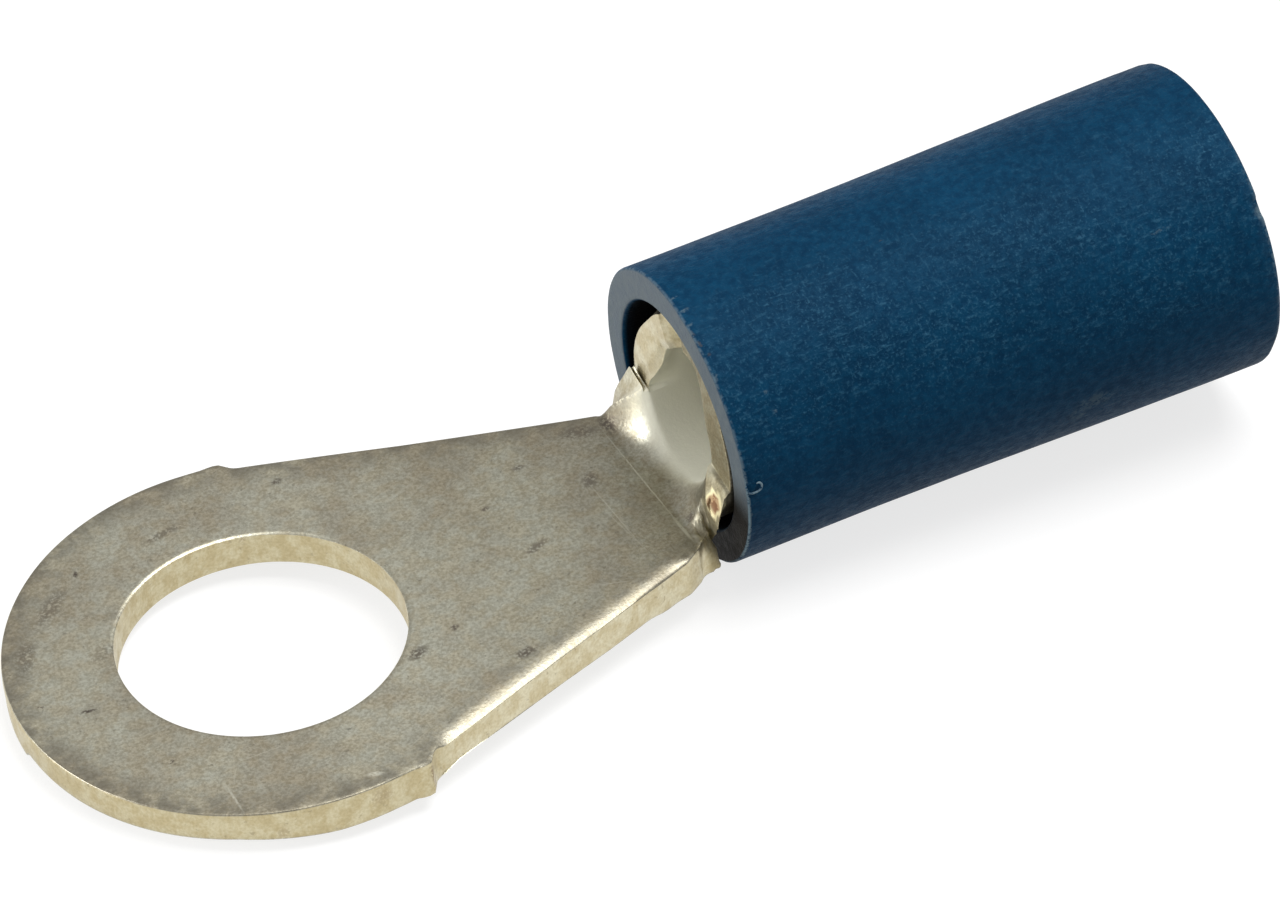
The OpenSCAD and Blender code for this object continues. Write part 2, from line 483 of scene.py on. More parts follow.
def sleeve_material(look):
    """Matte blue vinyl, dusted with fine pale fibres, with a scuffed front rim, painted sheen on the
    upper near fibres and painted shade in the bore and on the cut front's lower part.
    """
    material, tree, shader = new_material("Blue vinyl")
    at = millimetres(tree)
    along = millimetres(tree, stretch=(0.4, 1.0, 1.0), rotation=(0.0, 0.35, 0.45))
    across = millimetres(tree, stretch=(1.0, 0.45, 0.8), rotation=(0.5, 0.0, -0.6))
    broad = specks(tree, at, 0.5, 2.0, 0.3, 0.7)
    peel = specks(tree, at, 5.5, 5.0, 0.36, 0.64)
    fibre = specks(tree, along, 13.0, 5.0, 0.54, 0.74)
    strand = specks(tree, across, 15.0, 5.0, 0.54, 0.74)
    dots = specks(tree, at, 20.0, 5.0, 0.54, 0.72)
    blue = mix(tree, broad["Mask"], tuple(look.blue_dark), tuple(look.blue))
    blue = mix(tree, peel["Mask"], shaded(tree, blue, (0.6, 0.7, 0.76)), blue)
    pale = blue
    # Pale fibres, thicker on the upper near side: partly dust, partly painted sheen on the relief.
    for layer, share in ((fibre, 0.62), (strand, 0.55), (dots, 0.6)):
        dust = ramp(tree, attribute(tree, "dust"), 0.0, 1.0, 0.25 * share, share)
        pale = mix(tree, times(tree, layer["Mask"], dust), pale, tuple(look.fleck))
    face = mix(tree, peel["Mask"], tuple(look.cut_face),
               shaded(tree, tuple(look.cut_face), (0.8, 0.84, 0.9)))
    # Painted shade: the cut front's lower near part is darkened to near black, as the terminal's shadow.
    face = mix(tree, attribute(tree, "grime"), face, (0.012, 0.011, 0.01))
    colour = mix(tree, attribute(tree, "cut"), pale, face)
    # Painted shade: the bore, a little in from the front, is painted near black.
    colour = mix(tree, attribute(tree, "deep"), colour, (0.003, 0.003, 0.004))
    scuff = times(tree, marks(tree, at, round_the_sleeve(SCUFFS), 0.12),
                      specks(tree, at, 10.0, 4.0, 0.4, 0.56)["Mask"])
    colour = mix(tree, times(tree, scuff, 0.6), colour, (0.13, 0.19, 0.22))
    rust = marks(tree, at, round_the_sleeve(RUST), 0.12)
    colour = mix(tree, times(tree, rust, dots["Value"]), colour, (0.09, 0.075, 0.06))
    line = times(tree, attribute(tree, "worn"),
                     specks(tree, at, 9.0, 4.0, 0.4, 0.55)["Mask"])
    colour = mix(tree, times(tree, line, 0.8), colour, (0.2, 0.28, 0.32))
    tree.links.new(colour, shader.inputs["Base Color"])
    shader.inputs["IOR"].default_value = 1.22
    shader.inputs["Specular IOR Level"].default_value = 0.2
    rough = ramp(tree, peel["Value"], 0.3, 0.7, 0.6, 0.46)
    tree.links.new(rough, shader.inputs["Roughness"])
    bump(tree, shader,
         (peel["Value"], 0.04, 0.5),
         (fibre["Value"], 0.02, 0.8),
         (dots["Value"], 0.012, 0.8))
    return material


def floor_material(name, shade, strength):
    """Pale floor that reads as white to the camera and in reflections, and keeps shadows."""
    material, tree, shader = new_material(name)
    shader.inputs["Base Color"].default_value = (shade, shade, shade, 1.0)
    shader.inputs["Roughness"].default_value = 0.9
    shader.inputs["Specular IOR Level"].default_value = 0.0
    shader.inputs["Emission Color"].default_value = (1.0, 1.0, 1.0, 1.0)
    path = tree.nodes.new("ShaderNodeLightPath")
    seen = math_node(tree, "MAXIMUM", path.outputs["Is Camera Ray"], path.outputs["Is Glossy Ray"])
    seen = math_node(tree, "MAXIMUM", seen, path.outputs["Is Transmission Ray"])
    tree.links.new(times(tree, seen, strength), shader.inputs["Emission Strength"])
    return material


# ---------------------------------------------------------------- the metal terminal

ROOT = Vector((1.5, 4.33))          # where each side of the neck leaves the ring
ROOT_R = ROOT.length
# The neck's half width on each side, as (place, half width).
FAR_SIDE = [(ROOT.x, ROOT.y), (4.4, 3.29), (7.3, 2.32), (7.9, 2.13), (8.0, 2.05), (8.1, 1.91),
            (8.2, 1.78), (8.3, 1.73), (8.4, 1.76)]
NEAR_SIDE = [(ROOT.x, ROOT.y), (7.15, 2.36), (7.45, 2.29), (7.75, 2.1), (7.95, 1.9), (8.12, 1.74)]
STUB_END = {1: 8.4, -1: 8.12}       # where the far slit and the near tear start
WING_X = 8.5                        # where they end and the barrel's wings start
WEB_HALF = 1.7                      # distance from the middle of the far slit's end
TEAR_HALF = 1.5                     # and of the near tear's
TEAR_WIDTH = 0.056
CURL_FROM = 7.78                    # the strip curls up between these
CURL_TO = 8.5
NEAR_ROUND = 0.46                   # the near edge's rolled top: how far in it starts
NEAR_SLOPE = 0.62                   # and its slope at the edge
# Rows down a cut edge, as shares of the sheet, and rows in from an edge, as distances.
LAYERS = [0.0, 0.04, 0.11, 0.24, 0.5, 0.76, 0.9, 1.0]
EDGE_ROWS = [0.0, 0.03, 0.08, 0.14, 0.2, 0.27, 0.36]
# Rounding under the near edge, as (angle, radius) on the ring and (place, radius) on the neck.
UNDER_RING = [(80, 0.07), (98, 0.07), (120, 0.36), (140, 0.32), (158, 0.32), (180, 0.4)]
UNDER_NECK = [(1.6, 0.3), (4.5, 0.15), (5.5, 0.07), (8.12, 0.07), (8.2, 0.5)]
# The far wing's pinched front, as (angle, radius) of its inner and outer faces.
FAR_INNER = [(76, 1.4), (84, 1.27), (94, 1.12), (110, 1.0), (124, 0.98), (136, 1.08), (146, 1.2),
             (160, 1.25), (180, 1.25)]
FAR_OUTER = [(76, 1.95), (92, 1.88), (115, 1.82), (135, 1.8), (155, 1.93), (170, 2.0)]


def half_width(x, side):
    return knots(FAR_SIDE if side > 0 else NEAR_SIDE, x)


def ring_radius(angle):
    """Outer radius of the ring at an angle in degrees from +X, with the notch at the neck."""
    turn = (angle + 180) % 360 - 180
    root = math.degrees(math.atan2(ROOT.y, ROOT.x))
    lug = 0.06 if turn > 0 else 0.1
    return knots([(root, ROOT_R), (root + 1.6, ROOT_R + 0.02), (75.2, RING_R + lug), (77, RING_R + lug),
                  (79.5, RING_R + 0.2 * lug), (84, RING_R), (180, RING_R)], abs(turn))


def across_rows():
    """Rows across the strip: (share of the inner half width, None) or (side, gap from the edge)."""
    shares = [i / 19 for i in range(-18, 19)]
    low = [(-1, gap) for gap in EDGE_ROWS]
    mid = [(share, None) for share in sorted(shares)]
    high = [(1, gap) for gap in reversed(EDGE_ROWS)]
    return low + mid + high


def row_y(row, half):
    share, gap = row
    if gap is None:
        return share * (half - EDGE_ROWS[-1])
    return share * (half - gap)


def side_of(row):
    return 1 if row[0] > 0 else -1


def sheet_patch(name, columns, rows, place):
    """A grid of the sheet's top face, each point put where place(column, row) says."""
    deselect_all()
    bpy.ops.mesh.primitive_grid_add(x_subdivisions=columns, y_subdivisions=rows, size=2,
                                    location=(0, 0, 0))
    patch = bpy.context.object
    patch.name = name
    for vertex in patch.data.vertices:
        i = round((vertex.co.x + 1) / 2 * columns)
        j = round((vertex.co.y + 1) / 2 * rows)
        vertex.co = place(i, j)
    return patch


def ring_patch():
    rows = across_rows()
    neck_angles = [math.degrees(math.asin(row_y(row, ROOT.y) / ROOT_R)) for row in rows]
    root = neck_angles[-1]
    far = [root + step for step in (0.5, 1.1, 1.8, 2.7, 3.6, 4.3, 5.0, 5.8, 7.0, 8.7)]
    around = steps(far[-1], 360 - far[-1], 140)
    back = [360 - a for a in reversed(far[:-1])]
    angles = neck_angles + far[:-1] + around + back + [360 + neck_angles[0]]
    outer = list(reversed(EDGE_ROWS))
    hole = [0.0, 0.03, 0.08, 0.16, 0.28]
    middle = 12

    def place(i, j):
        angle = angles[i]
        edge = ring_radius(angle)
        if j < len(hole):
            r = HOLE_R + hole[j]
        elif j >= len(hole) + middle - 1:
            r = edge - outer[j - len(hole) - middle + 1]
        else:
            r = lerp(HOLE_R + hole[-1], edge - outer[0], (j - len(hole) + 1) / middle)
        a = math.radians(angle)
        return Vector((r * math.cos(a), r * math.sin(a), SHEET))

    return sheet_patch("ring_blank", len(angles) - 1, len(hole) + middle + len(outer) - 2, place)


def strip_stations():
    """Stations along the neck and barrel: ("fan", share) first, then ("x", place)."""
    fan = [("fan", t) for t in steps(0, 1, 40)[:-1]]
    curl = [("x", x) for x in steps(6.9, 7.7, 14)[:-1] + steps(7.7, STUB_END[-1], 18)
            + steps(STUB_END[-1], STUB_END[1], 5)[1:]]
    slit = [("x", x) for x in steps(STUB_END[1], WING_X, 3)[1:]]
    barrel = [("x", x) for x in steps(WING_X, 9.3, 14)[1:] + steps(9.3, BARREL_END, 22)[1:]]
    return fan + curl + slit + barrel


def strip_patch():
    rows = across_rows()
    stations = strip_stations()

    def place(i, j):
        kind, value = stations[i]
        side = side_of(rows[j])
        if kind == "x":
            return Vector((value, row_y(rows[j], half_width(value, side)), SHEET))
        start_y = row_y(rows[j], ROOT.y)
        start = Vector((math.sqrt(ROOT_R ** 2 - start_y ** 2), start_y))
        x = lerp(start.x, 6.9, value)
        share_x = lerp(ROOT.x, 6.9, value)
        return Vector((x, row_y(rows[j], half_width(share_x, side)), SHEET))

    return sheet_patch("neck_blank", len(stations) - 1, len(rows) - 1, place)


def wing_patch(side, end):
    """One wing of the barrel, flat: side is +1 or -1, end its edge's distance from the middle."""
    stations = [x for kind, x in strip_stations() if kind == "x" and x >= WING_X - 1e-6]
    rows = steps(half_width(WING_X, side), end, 36)

    def place(i, j):
        return Vector((stations[i], side * rows[j], SHEET))

    return sheet_patch("wing_blank", len(stations) - 1, len(rows) - 1, place)


def outline_points():
    """The tongue's outline, from the far curl round the ring to the near curl, as points."""
    angles = [72, 73, 74, 75, 76, 77, 78, 80] + list(range(82, 181, 2))
    ring = [ring_radius(a) * Vector((math.cos(math.radians(a)), math.sin(math.radians(a))))
            for a in angles]
    far = [Vector(point) for point in reversed(FAR_SIDE)]
    near = [Vector((x, -y)) for x, y in NEAR_SIDE]
    return far + ring + [Vector((p.x, -p.y)) for p in reversed(ring[:-1])] + near


def outline_gap(x, y, outline):
    """Distance in from the outline."""
    if math.hypot(x, y) < RING_R - 1:
        return 1.0
    here = Vector((x, y))
    best = 1.0
    for a, b in zip(outline, outline[1:]):
        along = b - a
        t = max(0.0, min(1.0, (here - a).dot(along) / along.length_squared))
        best = min(best, (here - a - along * t).length)
    return best


def rounding(radius, gap, slope=1.0, power=2):
    """How far a face drops at a distance in from a rolled edge, whose slope at the edge is given."""
    if gap >= radius:
        return 0.0
    return slope * radius / power * (1 - gap / radius) ** power


def roll(x, s, depth):
    """Where a point of the flat strip goes when it is rolled: depth is down from the top face."""
    curl = smooth(CURL_FROM, CURL_TO, x) ** 1.2
    if curl < 1e-3:
        return Vector((x, s, SHEET - depth))
    radius = BORE_R / curl
    out = radius + depth
    angle = s / radius
    if x >= WING_X - 1e-6:
        out = wing_radius(x, math.degrees(angle), depth)
    return Vector((x, out * math.sin(angle), SHEET + LIFT * curl + radius - out * math.cos(angle)))


def wing_radius(x, angle, depth):
    """Distance from the barrel's axis, with the far wing's front pinched and thinned."""
    plain = BORE_R + depth
    if angle < 74:
        return plain
    pinched = lerp(curve(FAR_INNER, angle), curve(FAR_OUTER, angle), depth / SHEET)
    return lerp(plain, pinched, (1 - smooth(WING_X, 9.15, x)) * smooth(74, 78, angle))


def form_point(x, s, depth):
    """Rolls a point, then adds the hand of the press: sloped fronts, a splayed stub, a torn slit."""
    side = 1 if s > 0 else -1
    share = depth / SHEET
    if x >= WING_X - 1e-6:
        turn = math.degrees(abs(s) / BORE_R)
        lean = 0.1 * smooth(90, 150, turn) if side > 0 else 0.26 * smooth(110, 175, turn)
        if side > 0:
            lean += 0.05 * smooth(0.3, 0.0, share) * smooth(84, 100, turn)
            s -= 0.26 * smooth(146, 169, turn) * (1 - smooth(WING_X, 8.9, x))
        return roll(x + lean * (1 - smooth(WING_X, 9.3, x)), s, depth)
    if side > 0:
        splay = smooth(1.3, 1.7, s) * smooth(8.05, 8.2, x)
        return roll(x, s + 0.22 * share * splay, depth * (1 - 0.28 * splay))
    place = roll(x, s, depth)
    droop = smooth(half_width(x, -1) - 0.5, half_width(x, -1), -s) * smooth(6.4, 6.9, x)
    place.z -= 0.09 * droop * share * (1 - smooth(7.9, 8.1, x))
    splay = share * smooth(1.45, 1.7, -s) * smooth(7.7, 8.05, x)
    flat = Vector((x + 0.13 * splay, s - 0.17 * splay, SHEET - depth - 0.02))
    free = smooth(1.48, 1.66, -s) * smooth(7.8, 7.95, x) * (1 - smooth(8.13, 8.17, x))
    return place.lerp(flat, free)


TEAR_SEED = 1
TEAR_AT = roll(8.25, -1.74, 0.45 * SHEET)       # the pit in the near tear, on the rolled sheet


def sheared_share(face):
    """How clean and warm a face is: 1 where it was sheared, less in the slits, 0 on the plate."""
    x, s, z = face.center
    if abs(face.normal.z) >= 0.5:
        return 0.0
    if face.normal.x < -0.7 and abs(x - WING_X) < 0.01:
        return 0.2 if s < 0 else 0.9
    if s > 0 and 7.95 < x < WING_X:
        return 0.3
    if s < 0 and STUB_END[-1] < x < WING_X:
        return 0.15
    return 1.0


def edge_drops(x, s, gap):
    """How far the sheet's top and bottom faces fall back at a distance in from the outline."""
    if s >= 0:
        pinch = smooth(7.7, 7.9, x) * (1 - smooth(8.1, 8.25, x))
        return rounding(lerp(0.06, 0.14, pinch), gap), rounding(0.12, gap)
    span = NEAR_ROUND * (1 - 0.85 * smooth(7.0, 7.7, x))
    rolled = smooth(ROOT.x - 0.05, ROOT.x + 0.15, x)
    high = lerp(rounding(0.05, gap), rounding(span, gap, NEAR_SLOPE, 3), rolled)
    angle = -math.degrees(math.atan2(s, x))
    on_neck = smooth(ROOT.x - 0.1, ROOT.x + 0.5, x)
    low = rounding(lerp(knots(UNDER_RING, angle), knots(UNDER_NECK, x), on_neck), gap)
    return high, low


def edge_tuck(x, s, level, hole_gap):
    """How far a cut edge is pulled in at a level, which leaves it hollow and a little uneven."""
    tuck = 0.018 * smooth(0.05, 0.0, min(level, 1 - level))
    tuck += 0.012 * (1 + noise.noise(Vector((x * 1.6, s * 1.6, level * 2)))) * (0 < level < 1)
    return tuck * 0.2 if hole_gap < 0.1 else tuck


STAINS = ("rim", "crest", "torn", "inside", "aged", "dull")


def stain_values(x, s, level, gap, hole_gap):
    """What a point of the metal stores for its material, by name, apart from the tear."""
    top = level == 0
    start = 7.95 if s > 0 else 7.68
    crest = (1 - smooth(0.02, 0.07, gap)) * smooth(start, start + 0.12, x) * top
    if abs(x - WING_X) < 0.06 and s < -1.75 and (level < 0.06 or level > 0.94):
        crest = 0.5
    # The bowl and barrel inside, where lighter tin is painted as light.
    bowl = smooth(7.98, 8.5, x) * (1 - smooth(9.2, 10.6, x)) * smooth(0.3, 0.1, level)
    bowl *= lerp(smooth(-1.5, 0.3, s), 1.0, smooth(8.3, 8.5, x))
    return {
        "rim": (1 - smooth(0.05, 0.75, gap)) * top,
        "crest": crest,
        "inside": bowl * (not (s < -1.74 and x < WING_X + 0.05)),
        "aged": max(1 - smooth(ROOT.x, ROOT.x + 0.4, x), smooth(0.3, 0.0, hole_gap)),
        "dull": smooth(-1.4, -1.6, s) * smooth(7.8, 8.0, x) * (1 - smooth(8.5, 8.6, x)),
    }


def select_faces(obj, test):
    """Selects the faces whose centre passes the test."""
    mesh = obj.data
    for face in mesh.polygons:
        face.select = test(face.center)
    for edge in mesh.edges:
        edge.select = False
    for vertex in mesh.vertices:
        vertex.select = False


def new_attributes(mesh, domain, *names):
    """Adds values per point or face, and gives their data once all are in place."""
    for name in names:
        mesh.attributes.new(name, "FLOAT", domain)
    return [mesh.attributes[name].data for name in names]


class OBJECT_OT_ring_terminal_metal(bpy.types.Operator):
    """Stamp, slit and roll the one-piece metal terminal"""
    bl_idname = "object.ring_terminal_metal"
    bl_label = "Metal terminal"
    bl_options = {"REGISTER", "UNDO"}

    def execute(self, context):
        look = context.scene.ring_terminal
        patches = [ring_patch(), strip_patch(),
                   wing_patch(1, BORE_R * math.radians(look.seam_angle)),
                   wing_patch(-1, BORE_R * math.radians(360 - look.seam_angle - 2.0))]
        deselect_all()
        for patch in patches:
            patch.select_set(True)
        context.view_layer.objects.active = patches[0]
        bpy.ops.object.join()
        metal = context.object
        metal.name = "metal_terminal"
        edit_all(metal, bpy.ops.mesh.remove_doubles, threshold=0.0005)

        def cut_away(centre):
            if centre.y > 0:
                return STUB_END[1] < centre.x < WING_X and centre.y > WEB_HALF
            return 0 < centre.x - STUB_END[-1] < TEAR_WIDTH and centre.y < -TEAR_HALF

        select_faces(metal, cut_away)
        in_edit(metal, lambda: bpy.ops.mesh.delete(type="FACE"))
        edit_all(metal, bpy.ops.mesh.normals_make_consistent, inside=False)
        if sum(face.normal.z for face in metal.data.polygons) < 0:
            edit_all(metal, bpy.ops.mesh.flip_normals)
        apply_modifier(metal, "SOLIDIFY", thickness=SHEET, offset=-1.0)
        self.layer_edges(context, metal)
        self.form(metal)
        apply_modifier(metal, "BEVEL", width=0.02, segments=2, limit_method="ANGLE",
                       angle_limit=math.radians(52))
        finish_piece(metal, tin_material(look), "terminal")
        return {"FINISHED"}

    @staticmethod
    def layer_edges(context, metal):
        """Cuts the sheet's edges into rows, to give them a profile."""
        mesh = metal.data
        select_faces(metal, lambda centre: False)
        for edge in mesh.edges:
            a, b = (mesh.vertices[i].co for i in edge.vertices)
            edge.select = abs(a.z - b.z) > SHEET / 2
        context.tool_settings.mesh_select_mode = (False, True, False)
        in_edit(metal, lambda: bpy.ops.mesh.subdivide(number_cuts=len(LAYERS) - 2))
        context.tool_settings.mesh_select_mode = (True, False, False)

    @staticmethod
    def form(metal):
        """Rounds the stamped edges, rolls the barrel and stores where the metal was cut or torn."""
        noise.seed_set(TEAR_SEED)
        mesh = metal.data
        outline = outline_points()
        normals = [vertex.normal.copy() for vertex in mesh.vertices]
        sheared, = new_attributes(mesh, "FACE", "sheared")
        for face in mesh.polygons:
            sheared[face.index].value = sheared_share(face)
        stains = new_attributes(mesh, "POINT", *STAINS)
        for index, vertex in enumerate(mesh.vertices):
            x, s, z = vertex.co
            share = (SHEET - z) / SHEET
            level = LAYERS[round(share * (len(LAYERS) - 1))]
            gap = 1.0
            high = 0.0
            low = 0.0
            if x < STUB_END[1] + 0.01:
                gap = outline_gap(x, s, outline)
                high, low = edge_drops(x, s, gap)
            hole_gap = math.hypot(x, s) - HOLE_R
            high += rounding(0.05, hole_gap)
            low += rounding(0.12, hole_gap)
            depth = lerp(high, SHEET - low, level)
            depth += noise.noise(Vector((x * 0.45, s * 0.45, 3.1))) * 0.012
            out = normals[index].to_2d()
            if out.length > 0.2:
                out.normalize()
                tuck = edge_tuck(x, s, level, hole_gap)
                x -= out.x * tuck
                s -= out.y * tuck
            place = form_point(x, s, depth)
            torn = -1.9 < s < -1.5 and 7.95 < x < 8.45
            if torn:
                place.y += 0.14 * smooth(0.17, 0.04, (place - TEAR_AT).length)
                place += noise.noise_vector(place * 8.0 + Vector((3.0, 7.0, 1.0))) * 0.035
            values = stain_values(x, s, level, gap, hole_gap)
            values["torn"] = smooth(0.3, 0.04, (place - TEAR_AT).length) * torn
            for name, data in zip(STAINS, stains):
                data[index].value = values[name]
            vertex.co = place


# ---------------------------------------------------------------- the sleeve

def sleeve_profile(look):
    """The sleeve's wall as (distance from its front, radius), round from mouth to mouth."""
    length = TUBE_END - TUBE_X
    wall = look.sleeve_radius
    mouth = ENTRY_R
    rear = 0.12
    outside = ([(0.0, wall - 0.05), (0.01, wall - 0.022), (0.028, wall - 0.006), (0.06, wall)]
               + [(x, wall) for x in steps(0.15, STRAIGHT, 18)]
               + [(x, lerp(wall, FLARE_R, smooth(STRAIGHT, length, x)))
                  for x in steps(2.8, length - rear, 44)]
               + [(length - rear * (1 - math.sin(a)), FLARE_R - rear * (1 - math.cos(a)))
                  for a in steps(0.25, math.pi / 2, 7)])
    inside = ([(length, ENTRY_R + 0.1), (length - 0.03, ENTRY_R + 0.03), (length - 0.08, ENTRY_R)]
              + [(x, ENTRY_R) for x in steps(length - 0.4, 6.1, 12)]
              + [(5.44, BARREL_R + 0.012)]
              + [(x, BARREL_R + 0.012) for x in steps(5.0, 1.15, 8)]
              + [(0.9, mouth), (0.6, mouth), (0.3, mouth), (0.1, mouth), (0.05, mouth + 0.012),
                 (0.02, mouth + 0.03), (0.0, mouth + 0.06)])
    face = [(0.0, r) for r in steps(mouth + 0.06, wall - 0.05, 8)[1:-1]]
    return outside + inside + face


def burr_points(radius):
    """The curl of plastic left at the front rim, from (place along the sleeve, degrees, lift)."""
    curl = [(0.0, 81.5, 0.0), (0.01, 83.6, 0.01), (0.07, 84.6, 0.03), (0.15, 84.5, 0.05),
            (0.24, 83.9, 0.06), (0.29, 82.7, 0.06), (0.28, 81.4, 0.05), (0.23, 80.8, 0.04),
            (0.2, 81.3, 0.03)]
    points = []
    for along, angle, lift in curl:
        a = math.radians(angle)
        points.append(Vector((TUBE_X + along, -(radius + lift) * math.sin(a),
                              AXIS_Z + (radius + lift) * math.cos(a))))
    return points


class OBJECT_OT_ring_terminal_sleeve(bpy.types.Operator):
    """Turn the plastic sleeve round the barrel's axis and age its rims"""
    bl_idname = "object.ring_terminal_sleeve"
    bl_label = "Sleeve"
    bl_options = {"REGISTER", "UNDO"}

    def execute(self, context):
        look = context.scene.ring_terminal
        profile = sleeve_profile(look)
        deselect_all()
        bpy.ops.mesh.primitive_circle_add(vertices=len(profile), radius=1, location=(0, 0, 0))
        sleeve = context.object
        sleeve.name = "blue_sleeve"
        for vertex, (x, r) in zip(sleeve.data.vertices, profile):
            vertex.co = (TUBE_X + x, 0, AXIS_Z + r)

        edit_all(sleeve, bpy.ops.mesh.spin, steps=look.around, angle=2 * math.pi,
                 use_auto_merge=True, center=(0, 0, AXIS_Z), axis=(1, 0, 0))
        edit_all(sleeve, bpy.ops.mesh.remove_doubles, threshold=0.0005)
        edit_all(sleeve, bpy.ops.mesh.normals_make_consistent, inside=False)
        self.age(sleeve)
        burr = self.burr(look)
        only(sleeve)
        burr.select_set(True)
        bpy.ops.object.join()
        finish_piece(sleeve, sleeve_material(look), "sleeve")
        return {"FINISHED"}

    @staticmethod
    def burr(look):
        """A thin whisker of plastic that curls off the front rim."""
        data = bpy.data.curves.new("front_burr", "CURVE")
        data.dimensions = "3D"
        data.bevel_depth = 0.02
        data.bevel_resolution = 2
        data.use_fill_caps = True
        points = burr_points(look.sleeve_radius)
        spline = data.splines.new("NURBS")
        spline.points.add(len(points) - 1)
        for target, point in zip(spline.points, points):
            target.co = (*point, 1.0)
            target.radius = 1.0
        spline.points[-1].radius = 0.4
        spline.use_endpoint_u = True
        spline.order_u = 3
        burr = bpy.data.objects.new("front_burr", data)
        bpy.context.scene.collection.objects.link(burr)
        only(burr)
        bpy.ops.object.convert(target="MESH")
        worn, = new_attributes(burr.data, "POINT", "worn")
        for item in worn:
            item.value = 1.0
        return burr

    @staticmethod
    def age(sleeve):
        """Makes the rims slightly uneven and stores where the plastic is cut, worn or dusty, and where
        shade and sheen are painted.
        """
        mesh = sleeve.data
        names = ("cut", "worn", "deep", "grime", "dust")
        cut, worn, deep, grime, dust = new_attributes(mesh, "POINT", *names)
        for index, vertex in enumerate(mesh.vertices):
            x, y, z = vertex.co
            z -= AXIS_Z
            r = math.hypot(y, z)
            angle = math.degrees(math.atan2(-y, z))
            ahead = x - TUBE_X
            cut[index].value = (1 - smooth(0.0, 0.015, ahead)) * (r < 2.83)
            # Painted shade in the bore, a little in from the front.
            deep[index].value = smooth(0.02, 0.12, ahead) * (r < 2.3)
            # Painted shade on the cut front's lower near side, by angle round the axis.
            grime[index].value = smooth(78, 104, angle) * (1 - smooth(200, 220, angle % 360))
            # Upper near side, where the fibres are thicker: partly dust, partly painted sheen.
            sheen_and_dust_band = smooth(-10, 40, angle) * (1 - smooth(62, 100, angle))
            dust[index].value = sheen_and_dust_band * (0.75 + 0.6 * noise.noise(Vector((x * 0.5, y * 0.8, z * 0.8))))
            front = (0.004 < ahead < 0.04) * (r > 2.7)
            strength = 0.35 + 0.65 * smooth(70, 85, angle) * (1 - smooth(135, 160, angle))
            back = smooth(TUBE_END - 0.14, TUBE_END - 0.02, x) * (r > 2.7)
            worn[index].value = max(front * strength, 0.5 * back * smooth(10, 60, angle))
            push = noise.noise(Vector((x * 0.6, y * 0.6, z * 0.6))) * 0.008
            if ahead < 0.07 and r > 2.7:
                push -= 0.02 * max(0.0, noise.noise(Vector((7.0, y * 2.2, z * 2.2))))
            if TUBE_END - x < 0.6 and r > 2.5:
                push -= 0.03 * max(0.0, noise.noise(Vector((1.0, y * 1.4, z * 1.4))))
            if TUBE_END - x < 0.3 and r > 2.5 and abs(angle - 52) < 5:
                push -= 0.07 * smooth(5, 2, abs(angle - 52)) * smooth(0.3, 0.1, TUBE_END - x)
            push = min(push, 0.0) if r > 2.5 else 0.0
            skew = -0.022 * smooth(TUBE_END - 1.5, TUBE_END, x) * (1 + z / r)
            vertex.co = (x + skew, y * (r + push) / r, AXIS_Z + z * (r + push) / r)


# ---------------------------------------------------------------- stage, light and camera

CAMERA_AT = Vector((-34.58, -102.21, 98.66))
CAMERA_RIGHT = Vector((0.89316, -0.44297, -0.07769))
CAMERA_AHEAD = Vector((0.28709, 0.69455, -0.65969))
CAMERA_LENS = 228.77


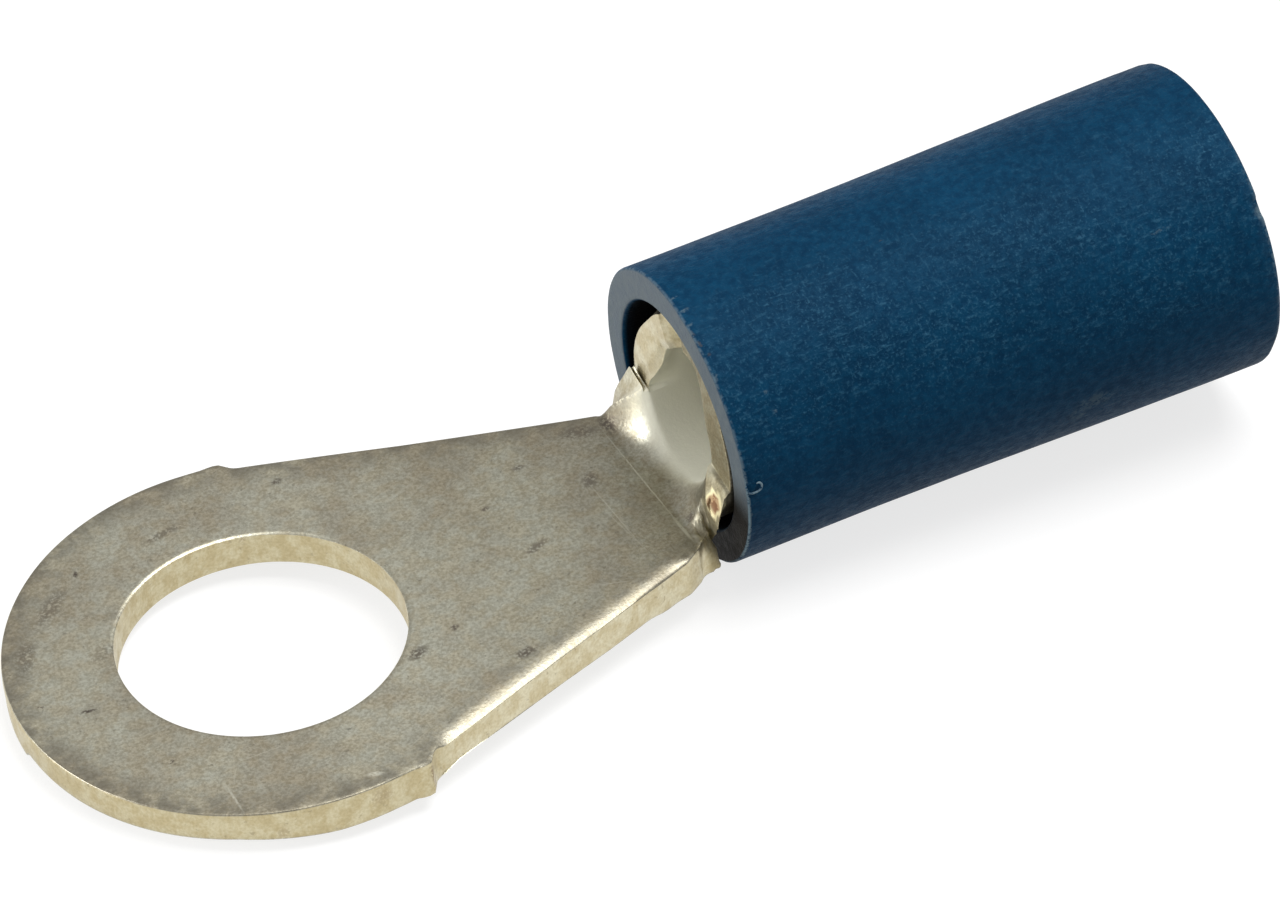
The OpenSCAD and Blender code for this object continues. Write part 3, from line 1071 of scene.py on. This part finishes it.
class OBJECT_OT_ring_terminal_stage(bpy.types.Operator):
    """Set the floor, the lamps, the world and the camera"""
    bl_idname = "object.ring_terminal_stage"
    bl_label = "Stage"
    bl_options = {"REGISTER", "UNDO"}

    def execute(self, context):
        look = context.scene.ring_terminal
        scene = context.scene
        scene.view_settings.view_transform = "Standard"
        self.floor(look)
        self.world(scene, look)
        self.lamp("Overhead_softbox", (56, -16, 150), (8, 0, 1), 95, look.key)
        self.lamp("Side_softbox", (-130, 32, 44), (8, 0, 1), 60, look.fill)
        self.camera(scene)
        return {"FINISHED"}

    @staticmethod
    def floor(look):
        """A plane under the ring's tip and the sleeve's front rim, which the part rests on."""
        deselect_all()
        bpy.ops.mesh.primitive_plane_add(size=900, location=(0, 0, 0))
        floor = bpy.context.object
        floor.name = "pale_floor"
        drop = AXIS_Z - look.sleeve_radius
        tilt = math.atan2(-drop, TUBE_X + RING_R)
        floor.rotation_euler = (0, tilt, 0)
        floor.location = (-RING_R, 0, -0.004)
        only(floor)
        floor.scale = (MM, MM, MM)
        floor.location = floor.location * MM
        bpy.ops.object.transform_apply(location=True, rotation=True, scale=True)
        floor.data.materials.append(floor_material("Pale floor", 0.3, look.floor_glow))

    @staticmethod
    def world(scene, look):
        world = bpy.data.worlds.new("Soft room")
        scene.world = world
        world.use_nodes = True
        tree = world.node_tree
        tree.nodes.clear()
        out = tree.nodes.new("ShaderNodeOutputWorld")
        room = tree.nodes.new("ShaderNodeBackground")
        room.inputs["Color"].default_value = (1, 1, 1, 1)
        path = tree.nodes.new("ShaderNodeLightPath")
        strength = tree.nodes.new("ShaderNodeMapRange")
        tree.links.new(path.outputs["Is Camera Ray"], strength.inputs["Value"])
        strength.inputs["To Min"].default_value = look.room
        strength.inputs["To Max"].default_value = 1.0
        tree.links.new(strength.outputs["Result"], room.inputs["Strength"])
        tree.links.new(room.outputs["Background"], out.inputs["Surface"])

    @staticmethod
    def lamp(name, place, aim, size, watts):
        data = bpy.data.lights.new(name, "AREA")
        data.shape = "SQUARE"
        data.size = size * MM
        data.energy = watts
        lamp = bpy.data.objects.new(name, data)
        bpy.context.scene.collection.objects.link(lamp)
        lamp.location = Vector(place) * MM
        lamp.rotation_euler = (Vector(aim) - Vector(place)).to_track_quat("-Z", "Y").to_euler()

    @staticmethod
    def camera(scene):
        data = bpy.data.cameras.new("Camera")
        data.sensor_fit = "HORIZONTAL"
        data.sensor_width = 36
        data.lens = CAMERA_LENS
        data.clip_start = 0.005
        data.clip_end = 10
        camera = bpy.data.objects.new("Camera", data)
        scene.collection.objects.link(camera)
        back = -CAMERA_AHEAD.normalized()
        up = back.cross(CAMERA_RIGHT).normalized()
        right = up.cross(back)
        turn = Matrix((right, up, back)).transposed().to_4x4()
        camera.matrix_world = Matrix.Translation(CAMERA_AT * MM) @ turn
        scene.camera = camera


# ---------------------------------------------------------------- settings and panel

def colour_setting(name, default, description):
    return FloatVectorProperty(name=name, description=description, subtype="COLOR", size=3,
                               default=default, min=0, max=1)


class RingTerminalLook(bpy.types.PropertyGroup):
    """Sizes and finishes that a user would change"""
    seam_angle: FloatProperty(name="Seam", default=169.0, min=150.0, max=210.0,
                              description="Angle round the barrel, from its bottom, of the butt seam")
    sleeve_radius: FloatProperty(name="Sleeve radius", default=BODY_R, min=2.6, max=3.2,
                                 description="Outside radius of the sleeve's straight front, mm")
    around: IntProperty(name="Steps around", description="Faces round the sleeve",
                        default=300, min=48, max=480)
    tin: colour_setting("Tin", (0.72, 0.715, 0.595), "Colour of clean tin plate")
    tin_dark: colour_setting("Stained tin", (0.6, 0.57, 0.46), "Colour of stained tin plate")
    tin_edge: colour_setting("Sheared edge", (0.7, 0.65, 0.475), "Colour of the sheared edges")
    # Painted light: the lighter tin that stands in for light inside the barrel.
    tin_inside_painted_light: colour_setting("Barrel inside", (0.98, 0.97, 0.82), "Colour of the barrel's inner face")
    inside_metal: FloatProperty(name="Inside metal", description="How mirror-like the inner face is",
                                default=0.05, min=0, max=1)
    blue: colour_setting("Blue", (0.002, 0.043, 0.098), "Colour of the sleeve")
    blue_dark: colour_setting("Deep blue", (0.0015, 0.034, 0.079), "Colour of the sleeve's darker areas")
    fleck: colour_setting("Fleck", (0.034, 0.12, 0.2), "Colour of the sleeve's pale fibres")
    cut_face: colour_setting("Cut face", (0.15, 0.18, 0.2), "Colour of the sleeve's cut front")
    key: FloatProperty(name="Overhead lamp", description="Power of the overhead softbox",
                       default=0.21, min=0, unit="POWER")
    fill: FloatProperty(name="Side lamp", description="Power of the side softbox", default=0.115,
                        min=0, unit="POWER")
    room: FloatProperty(name="Room", description="Brightness of the room around", default=0.46, min=0)
    floor_glow: FloatProperty(name="Floor glow", description="How white the floor reads",
                              default=0.75, min=0)


PIECES = (OBJECT_OT_ring_terminal_metal, OBJECT_OT_ring_terminal_sleeve, OBJECT_OT_ring_terminal_stage)


class VIEW3D_PT_ring_terminal(bpy.types.Panel):
    """Lists the terminal's pieces and settings"""
    bl_label = "Ring terminal"
    bl_idname = "VIEW3D_PT_ring_terminal"
    bl_space_type = "VIEW_3D"
    bl_region_type = "UI"
    bl_category = "Terminal"

    def draw(self, context):
        look = context.scene.ring_terminal
        for name in RingTerminalLook.__annotations__:
            self.layout.prop(look, name)
        for piece in PIECES:
            self.layout.operator(piece.bl_idname)


CLASSES = (RingTerminalLook, *PIECES, VIEW3D_PT_ring_terminal)


def register():
    for cls in CLASSES:
        bpy.utils.register_class(cls)
    bpy.types.Scene.ring_terminal = PointerProperty(type=RingTerminalLook)


def unregister():
    del bpy.types.Scene.ring_terminal
    for cls in reversed(CLASSES):
        bpy.utils.unregister_class(cls)


def main():
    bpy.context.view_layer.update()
    register()
    bpy.ops.object.ring_terminal_metal()
    bpy.ops.object.ring_terminal_sleeve()
    bpy.ops.object.ring_terminal_stage()


if __name__ == "__main__":
    main()
